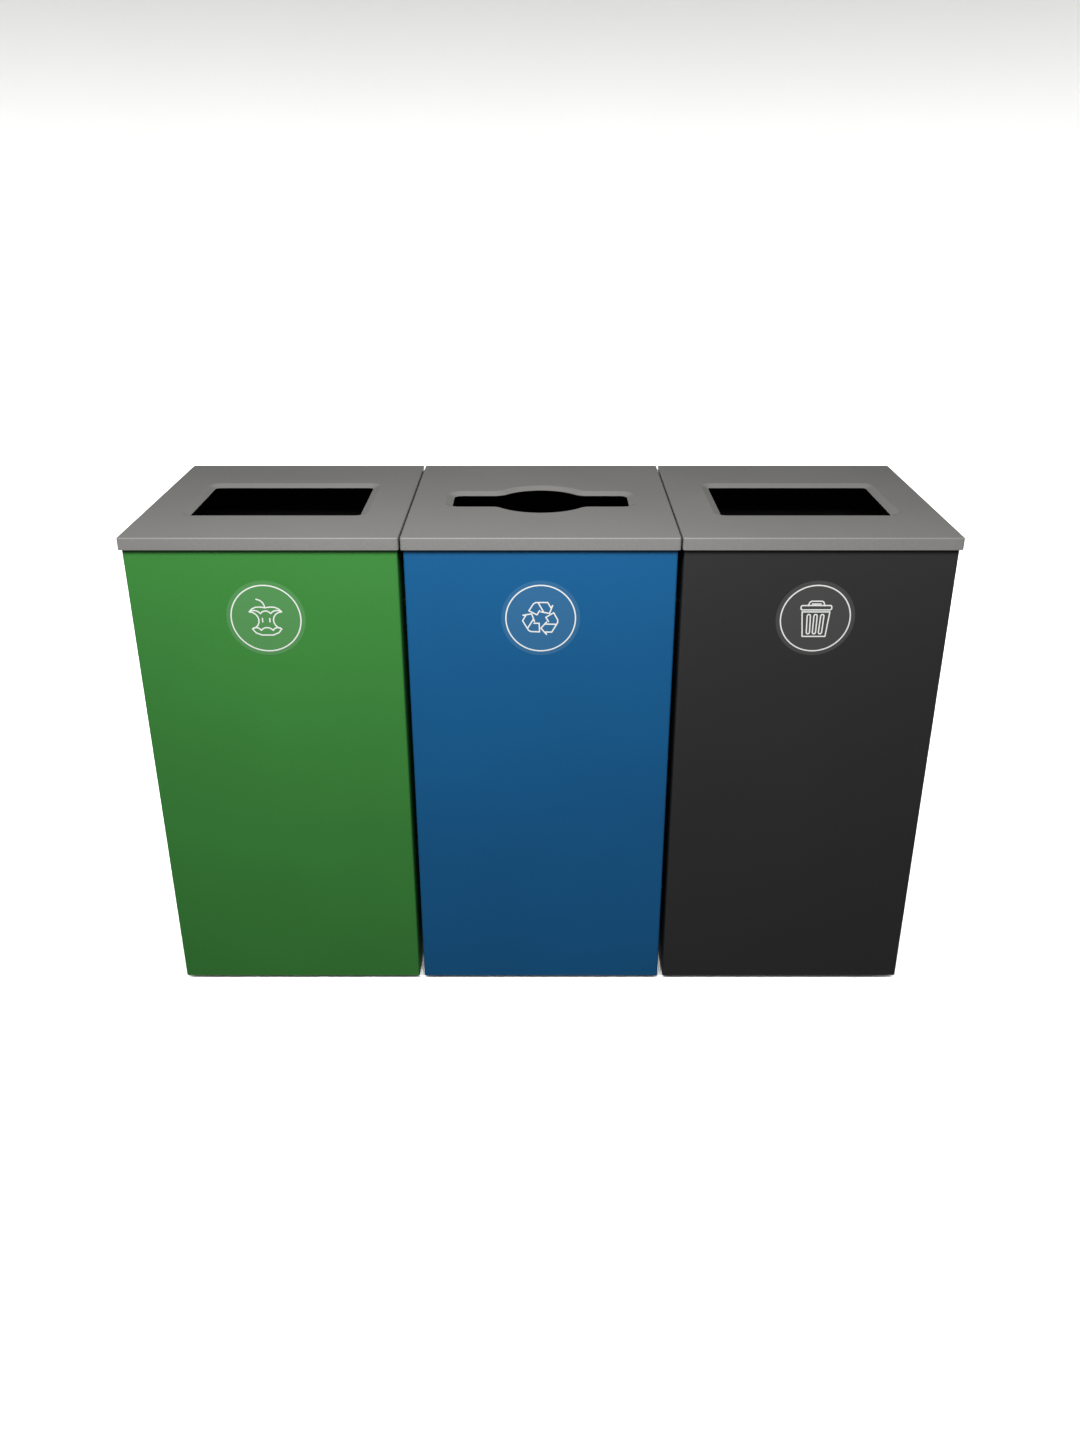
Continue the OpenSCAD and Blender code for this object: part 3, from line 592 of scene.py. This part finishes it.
def make_liner(stream):
    """One moulded bucket: tapered walls with a stacking step, a flat rim with a lip, and two ears."""
    size = bpy.context.scene.station_liner
    low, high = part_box(f"{stream}_liner")
    x, y = (low.x + high.x) / 2, (low.y + high.y) / 2
    bail_low, bail_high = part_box(f"{stream}_bail")
    bail_z = (bail_low.z + bail_high.z) / 2
    rim_z = bail_low.z - size.bail_gap
    mouth_w, mouth_d = high.x - low.x - 2 * size.rim, high.y - low.y - 2 * size.rim

    def ring(inset, z, radius):
        """Rounded rectangle at height z, inset from the mouth's outline."""
        quarter = rounded_quarter(mouth_w - 2 * inset, mouth_d - 2 * inset, radius)
        return at(four_quarters(quarter), x, y, z)

    def wall(z, off):
        """Outline of the tapered wall at height z, off inside its outer face."""
        inset = size.taper / 2 * (rim_z - z) / (rim_z - low.z) + off
        return ring(inset, z, size.corner - off)

    def rim(out, z):
        """Outline of the rim at height z, out beyond the mouth."""
        return ring(-out, z, size.corner + size.rim / 2)

    t, lip = size.wall, size.lip
    # The stacking step climbs 3 mm, and the foot is rounded: pairs of height above the floor and inset.
    step_z = rim_z - size.step_down
    over_step_z = step_z + 3 * MM
    inside_foot = ((0, 12 * MM), (2 * MM, 4 * MM), (8 * MM, 0))
    outside_foot = ((10 * MM, 0), (3 * MM, 2 * MM), (0, 8 * MM))
    # From the floor up the inside to the mouth.
    rings = [wall(low.z + t + up, t + inset) for up, inset in inside_foot]
    rings += [wall(step_z, t + size.step), wall(over_step_z, t + lip), wall(rim_z - size.rim_t, t),
              wall(rim_z - lip, t - lip), ring(-2 * MM, rim_z, size.corner)]
    # Over the rim and back under it to the wall.
    return_out, under_z, middle_z = size.rim - size.rim_return, rim_z - size.rim_t, rim_z - size.rim_t / 2
    rings += [rim(size.rim - 2 * lip, rim_z), rim(size.rim, rim_z - 2 * lip), rim(size.rim, under_z),
              rim(return_out, under_z), rim(return_out, middle_z), wall(middle_z, 0)]
    # Down the outside to the foot.
    rings += [wall(over_step_z, lip), wall(step_z, size.step)]
    rings += [wall(low.z + up, inset) for up, inset in outside_foot]
    bm = bmesh.new()
    for edges in loft(bm, rings):
        bmesh.ops.edgeloop_fill(bm, edges=edges)
    bmesh.ops.recalc_face_normals(bm, faces=bm.faces[:])
    sideways = Matrix.Rotation(math.radians(90), 4, "Y")
    for side in (-1, 1):
        place = Matrix.Translation((x + side * (high.x - low.x - size.ear) / 2, y, bail_z))
        disc = bmesh.ops.create_cone(bm, cap_ends=True, segments=32, radius1=size.ear_r, radius2=size.ear_r,
                                     depth=size.ear, matrix=place @ sideways)
        around = dict.fromkeys(e for v in disc["verts"] for e in v.link_edges)
        rims = [e for e in around if e.calc_face_angle() > 1]
        bmesh.ops.bevel(bm, geom=rims, offset=0.5 * MM, segments=2, profile=0.5, affect="EDGES",
                        material=-1)
    made = piece(f"{stream}_liner_bucket", bm, f"{stream}_liner", "black_plastic", f"{stream}_liner",
                 sharp=50)
    add_modifier(made, "WEIGHTED_NORMAL", keep_sharp=True, weight=60)


def extrude(bm, face):
    """Extrudes a face; returns the new one and its vertices, still in the old place."""
    new = bmesh.ops.extrude_face_region(bm, geom=[face])["geom"]
    bmesh.ops.delete(bm, geom=[face], context="FACES_ONLY")
    return next(g for g in new if isinstance(g, bmesh.types.BMFace)), verts_of(new)


def push(bm, face, offset):
    """Extrudes a face by an offset; returns the new one."""
    face, verts = extrude(bm, face)
    bmesh.ops.translate(bm, verts=verts, vec=offset)
    return face


def swing(bm, face, to_centre, degrees):
    """Carries a face round a bend in the plan, whose centre lies to_centre away; returns the new one."""
    centre = face.calc_center_median() + Vector(to_centre)
    turn = Matrix.Rotation(math.radians(degrees / WIRE_STEPS), 3, "Z")
    for _ in range(WIRE_STEPS):
        face, verts = extrude(bm, face)
        bmesh.ops.rotate(bm, verts=verts, cent=centre, matrix=turn)
    return face


def resize(bm, face, factor):
    """Scales a face about its middle."""
    middle = face.calc_center_median()
    bmesh.ops.scale(bm, verts=face.verts[:], vec=(factor,) * 3, space=Matrix.Translation(-middle))


def make_bail(stream):
    """One wire bail: pin, arm, crossbar, arm and pin, bent from a single rod."""
    size = bpy.context.scene.station_liner
    low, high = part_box(f"{stream}_bail")
    x, z, half = (high.x + low.x) / 2, (low.z + high.z) / 2, (high.x - low.x) / 2
    r, bend = size.wire, size.wire_bend
    pin_r = r - size.pin_less
    arm_x = half - size.pin_proud - size.ear - size.bail_gap - r
    # The arm turns into the pin as tightly as the wire allows.
    tight = 1.04 * r
    # The pin is drawn down to fit its ear and widens to the full wire at the bend.
    widen = 0.2 * MM
    bm = bmesh.new()
    turn = Matrix.Translation((x - half, low.y + r, z)) @ Matrix.Rotation(math.radians(90), 4, "Y")
    rod = bmesh.ops.create_circle(bm, cap_ends=True, segments=24, radius=pin_r, matrix=turn)
    face = next(f for v in rod["verts"] for f in v.link_faces)
    cap = face.copy(verts=False, edges=False)
    cap.normal_flip()
    face = push(bm, face, Vector((half - arm_x - tight - widen, 0, 0)))
    face = push(bm, face, Vector((widen, 0, 0)))
    resize(bm, face, r / pin_r)
    face = swing(bm, face, (0, tight, 0), 90)
    start = face.calc_center_median()
    face = push(bm, face, Vector((0, high.y - r - bend - start.y, 0)))
    face = swing(bm, face, (bend, 0, 0), -90)
    face = push(bm, face, Vector((2 * (x - start.x - bend), 0, 0)))
    face = swing(bm, face, (0, -bend, 0), -90)
    face = push(bm, face, Vector((0, start.y - face.calc_center_median().y, 0)))
    face = swing(bm, face, (tight, 0, 0), 90)
    face = push(bm, face, Vector((widen, 0, 0)))
    resize(bm, face, pin_r / r)
    push(bm, face, Vector((x + half - face.calc_center_median().x, 0, 0)))
    bmesh.ops.remove_doubles(bm, verts=bm.verts[:], dist=WELD)
    bmesh.ops.recalc_face_normals(bm, faces=bm.faces[:])
    piece(f"{stream}_bail_wire", bm, f"{stream}_bail", "stainless_wire", f"{stream}_bail", sharp=50)


def lathe(bm, profile, centre, closed):
    """Spins a profile of (radius, height) pairs about the upright line through centre."""
    points = [centre + Vector((radius, 0, height)) for radius, height in profile]
    edges = chain(bm, points, closed)
    verts = list(dict.fromkeys(v for e in edges for v in e.verts))
    bmesh.ops.spin(bm, geom=edges + verts, cent=centre, axis=(0, 0, 1), angle=math.tau, steps=36,
                   use_merge=True)


def solids_of(node_name, reach):
    """Lowest and highest corners of a node's separate solids, each smaller than reach and further apart."""
    groups = []
    for vert in frame["nodes"][node_name].data.vertices:
        for group in groups:
            if (group[0] - vert.co).length < reach:
                group.append(vert.co)
                break
        else:
            groups.append([vert.co])
    return [(Vector(map(min, zip(*group))), Vector(map(max, zip(*group)))) for group in groups]


def make_feet(stream):
    """Four turned rubber feet with eased edges."""
    size = bpy.context.scene.station_fittings
    edge = size.foot_edge
    # The edges are drawn as two faces each, whose middle point lies 0.3 of the edge in from the corner.
    near = 0.3 * edge
    bm = bmesh.new()
    for low, high in solids_of(f"{stream}_feet", 60 * MM):
        r, h = (high.x - low.x) / 2, high.z - low.z
        seat = h - size.foot_seat
        profile = [(size.foot_bore, h), (r - edge, h), (r - near, h - near), (r, h - edge), (r, edge),
                   (r - near, near), (r - edge, 0), (size.counterbore, 0), (size.counterbore, seat),
                   (size.foot_bore, seat)]
        lathe(bm, profile, Vector((low.x + r, (low.y + high.y) / 2, low.z)), closed=True)
    bmesh.ops.recalc_face_normals(bm, faces=bm.faces[:])
    piece(f"{stream}_rubber_feet", bm, "station", "black_rubber", f"{stream}_feet", sharp=40)


def make_bumpers(stream):
    """Four domed rubber bumpers under the lid."""
    bm = bmesh.new()
    for low, high in solids_of(f"{stream}_bumpers", 30 * MM):
        r, h = (high.x - low.x) / 2, high.z - low.z
        dome = [(0.0, 0.0), (1.0, 0.0), (1.0, 0.4), (0.93, 0.72), (0.72, 0.93), (0.4, 1.0), (0.0, 1.0)]
        profile = [(across * r, up * h) for across, up in dome]
        lathe(bm, profile, Vector((low.x + r, (low.y + high.y) / 2, low.z)), closed=False)
    bmesh.ops.remove_doubles(bm, verts=bm.verts[:], dist=WELD)
    bmesh.ops.recalc_face_normals(bm, faces=bm.faces[:])
    piece(f"{stream}_lid_bumpers", bm, "station", "black_rubber", f"{stream}_bumpers", sharp=60)


def make_rivets(stream):
    """Domed rivets through the hinge leaf on the body."""
    head = bpy.context.scene.station_fittings.rivet_head
    bm = bmesh.new()
    for low, high in solids_of(f"{stream}_body_rivets", 30 * MM):
        r = (high.x - low.x) / 2
        for y in (high.y - head, low.y + head):
            place = Matrix.Translation(((low.x + high.x) / 2, y, (low.z + high.z) / 2))
            bmesh.ops.create_uvsphere(bm, u_segments=20, v_segments=12, radius=1,
                                      matrix=place @ Matrix.Diagonal((r, head, r, 1)))
    piece(f"{stream}_rivet_heads", bm, "station", "zinc_steel", f"{stream}_body_rivets", sharp=60)


# ---- making the stage ---------------------------------------------------------------------


def make_floor():
    """A round white floor that curves up into a wall, so that it lies behind the bins from every side."""
    material, tree = new_material("Matt white studio floor")
    where = node(tree, "ShaderNodeTexCoord").outputs["Object"]
    # Clouds of about 670 mm, a hundredth darker and lighter.
    cloud = node(tree, "ShaderNodeTexNoise", {"Vector": where, "Scale": 1.5, "Detail": 3.0})
    low, high = shades(linear("#f1f1ef"), 0.99, 1.01)
    tone = node(tree, "ShaderNodeMix", {"Factor": cloud.outputs["Fac"], "A": low, "B": high},
                data_type="RGBA")
    shader = node(tree, "ShaderNodeBsdfPrincipled", {"Base Color": tone.outputs["Result"],
                                                     "Roughness": 0.85})
    node(tree, "ShaderNodeOutputMaterial", {"Surface": shader.outputs["BSDF"]})
    flat, bend, wall_top, steps = 6.5, 2.5, 7.0, 16
    quarter = [math.pi / 2 * i / steps for i in range(steps + 1)]
    profile = [(flat + bend * math.sin(a), bend * (1 - math.cos(a))) for a in quarter]
    bm = bmesh.new()
    lathe(bm, [(0, 0), *profile, (flat + bend, wall_top)], Vector(), closed=False)
    bmesh.ops.remove_doubles(bm, verts=bm.verts[:], dist=MM)
    face_outwards(bm, lambda b: min(b.faces, key=lambda f: f.calc_center_median().length))
    floor = smooth_object("studio_floor", bm, material)
    # It throws no light back on the bins.
    floor.visible_diffuse = floor.visible_glossy = False
    return floor


def make_lights(floor, place):
    """A sun for the floor alone, and soft rectangular lights in front, behind and at both ends."""
    scene = bpy.context.scene
    sun = bpy.data.lights.new("floor_light", "SUN")
    sun.energy = place.floor_sun
    sun.angle = math.radians(120)
    lamp = bpy.data.objects.new("floor_light", sun)
    lit = bpy.data.collections.new("Lit from above")
    lit.objects.link(floor)
    # The sun lights nothing but the floor.
    lamp.light_linking.receiver_collection = lit
    scene.collection.objects.link(lamp)
    aim = Vector((0, 0, 0.6))
    for name, spot, size, power in (("key_light", (-0.15, -1.25, 1.8), (1.6, 0.5), place.key),
                                    ("back_light", (0.3, 2.4, 0.5), (2.4, 0.5), place.back),
                                    ("left_light", (-2.6, 0.2, 0.5), (0.8, 0.5), place.side),
                                    ("right_light", (2.6, 0.2, 0.5), (0.8, 0.5), place.side)):
        light = bpy.data.lights.new(name, "AREA")
        light.shape = "RECTANGLE"
        light.size, light.size_y = size
        light.energy = power
        lamp = bpy.data.objects.new(name, light)
        lamp.location = spot
        lamp.rotation_euler = (aim - lamp.location).to_track_quat("-Z", "Y").to_euler()
        lamp.visible_camera = False
        scene.collection.objects.link(lamp)


def make_room(place):
    """An even white light from all round, and plain colours without a film's curve."""
    scene = bpy.context.scene
    scene.world = scene.world or bpy.data.worlds.new("Studio room")
    scene.world.use_nodes = True
    tree = scene.world.node_tree
    tree.nodes.clear()
    glow = node(tree, "ShaderNodeBackground", {"Color": (1, 1, 1, 1), "Strength": place.room})
    node(tree, "ShaderNodeOutputWorld", {"Surface": glow.outputs["Background"]})
    scene.view_settings.view_transform = "Standard"


def make_camera(place):
    """The camera in front of the bins, looking a little down on the lids."""
    lens = bpy.data.cameras.new("camera")
    lens.lens = place.lens
    lens.sensor_width = 36.0
    lens.shift_x, lens.shift_y = place.shift
    camera = bpy.data.objects.new("camera", lens)
    camera.location = (place.camera_side, CAD_LOW.y - place.camera_back, CAD_HIGH.z + place.camera_up)
    camera.rotation_euler = (math.pi / 2 - place.pitch, 0, 0)
    bpy.context.scene.collection.objects.link(camera)
    bpy.context.scene.camera = camera


# ---- operators ----------------------------------------------------------------------------


class MakeLids(bpy.types.Operator):
    """Make the three folded lids with their pressed openings"""

    bl_idname = "station.make_lids"
    bl_label = "Lids"

    def execute(self, context):
        for stream in STREAMS:
            make_lid(stream)
        return {"FINISHED"}


class MakeShells(bpy.types.Operator):
    """Make the three bent body wraps, their rear panels and base pans"""

    bl_idname = "station.make_shells"
    bl_label = "Body wraps"

    def execute(self, context):
        for stream in STREAMS:
            make_shell(stream)
            make_rear_panel(stream)
            ease_node(f"{stream}_base_pan", f"{stream}_base_tray", "station", PAINT_SLOT[stream], 0.5)
        return {"FINISHED"}


class MakeHinges(bpy.types.Operator):
    """Make the hinge leaves, their pins and rivets"""

    bl_idname = "station.make_hinges"
    bl_label = "Hinges"

    def execute(self, context):
        for stream in STREAMS:
            ease_node(f"{stream}_body_leaf", f"{stream}_hinge_leaf", "station", "zinc_steel", 0.2)
            ease_node(f"{stream}_lid_leaf", f"{stream}_lid_hinge_leaf", f"{stream}_lid", "zinc_steel", 0.2)
            ease_node(f"{stream}_hinge_pin", f"{stream}_hinge_rod", "station", "stainless_wire", 0.3)
            make_rivets(stream)
        return {"FINISHED"}


class MakeLiners(bpy.types.Operator):
    """Make the three moulded liners and their wire bails"""

    bl_idname = "station.make_liners"
    bl_label = "Liners and bails"

    def execute(self, context):
        for stream in STREAMS:
            make_liner(stream)
            make_bail(stream)
        return {"FINISHED"}


class MakeSmallParts(bpy.types.Operator):
    """Make the rubber feet, lid bumpers, screws, spacers and bolts"""

    bl_idname = "station.make_small_parts"
    bl_label = "Feet, bumpers and fasteners"

    def execute(self, context):
        for stream in STREAMS:
            make_feet(stream)
            make_bumpers(stream)
            ease_node(f"{stream}_foot_screws", f"{stream}_screws", "station", "zinc_steel", 0.3)
            ease_node(f"{stream}_foot_nuts", f"{stream}_nuts", "station", "zinc_steel", 0.3)
        for name in ("spacers", "bolts", "nuts"):
            ease_node(f"link_{name}", f"linking_{name}", "station", "zinc_steel", 0.3)
        return {"FINISHED"}


class PaintFrame(bpy.types.Operator):
    """Give every frame node that stays in view its own material"""

    bl_idname = "station.paint_frame"
    bl_label = "Frame finishes"

    def execute(self, context):
        for row in frame["record"]["subparts"]:
            made = frame["nodes"][row["node"]]
            made.data.materials.clear()
            made.data.materials.append(finish_of(row["material_slot"]))
        return {"FINISHED"}


class MakeStage(bpy.types.Operator):
    """Make the pale floor and backdrop, the soft lights and the camera"""

    bl_idname = "station.make_stage"
    bl_label = "Stage"

    def execute(self, context):
        place = context.scene.station_stage
        make_lights(make_floor(), place)
        make_room(place)
        make_camera(place)
        return {"FINISHED"}


class StationPanel(bpy.types.Panel):
    """Lists the station's pieces and their sizes in the sidebar"""

    bl_idname = "STATION_PT_pieces"
    bl_label = "Recycling Bin Station"
    bl_space_type = "VIEW_3D"
    bl_region_type = "UI"
    bl_category = "Bin Station"

    def draw(self, context):
        for maker in OPERATORS:
            self.layout.operator(maker.bl_idname)
        for group in GROUPS:
            values = getattr(context.scene, GROUPS[group])
            box = self.layout.box()
            for key in group.__annotations__:
                box.prop(values, key)


GROUPS = {SheetSizes: "station_sheet", LinerSizes: "station_liner", FittingSizes: "station_fittings",
          Finishes: "station_finishes", StageSizes: "station_stage"}
OPERATORS = (PaintFrame, MakeShells, MakeLids, MakeHinges, MakeLiners, MakeSmallParts, MakeStage)


def register():
    """Adds the sizes to the scene, and the operators and the panel to Blender."""
    for group, name in GROUPS.items():
        bpy.utils.register_class(group)
        setattr(bpy.types.Scene, name, PointerProperty(type=group))
    for made in (*OPERATORS, StationPanel):
        bpy.utils.register_class(made)


def unregister():
    """Takes away what register adds."""
    for made in (StationPanel, *OPERATORS):
        bpy.utils.unregister_class(made)
    for group, name in GROUPS.items():
        delattr(bpy.types.Scene, name)
        bpy.utils.unregister_class(group)


def main():
    """Registers the add-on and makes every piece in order."""
    register()
    for maker in OPERATORS:
        area, name = maker.bl_idname.split(".")
        getattr(getattr(bpy.ops, area), name)()


if __name__ == "__main__":
    main()
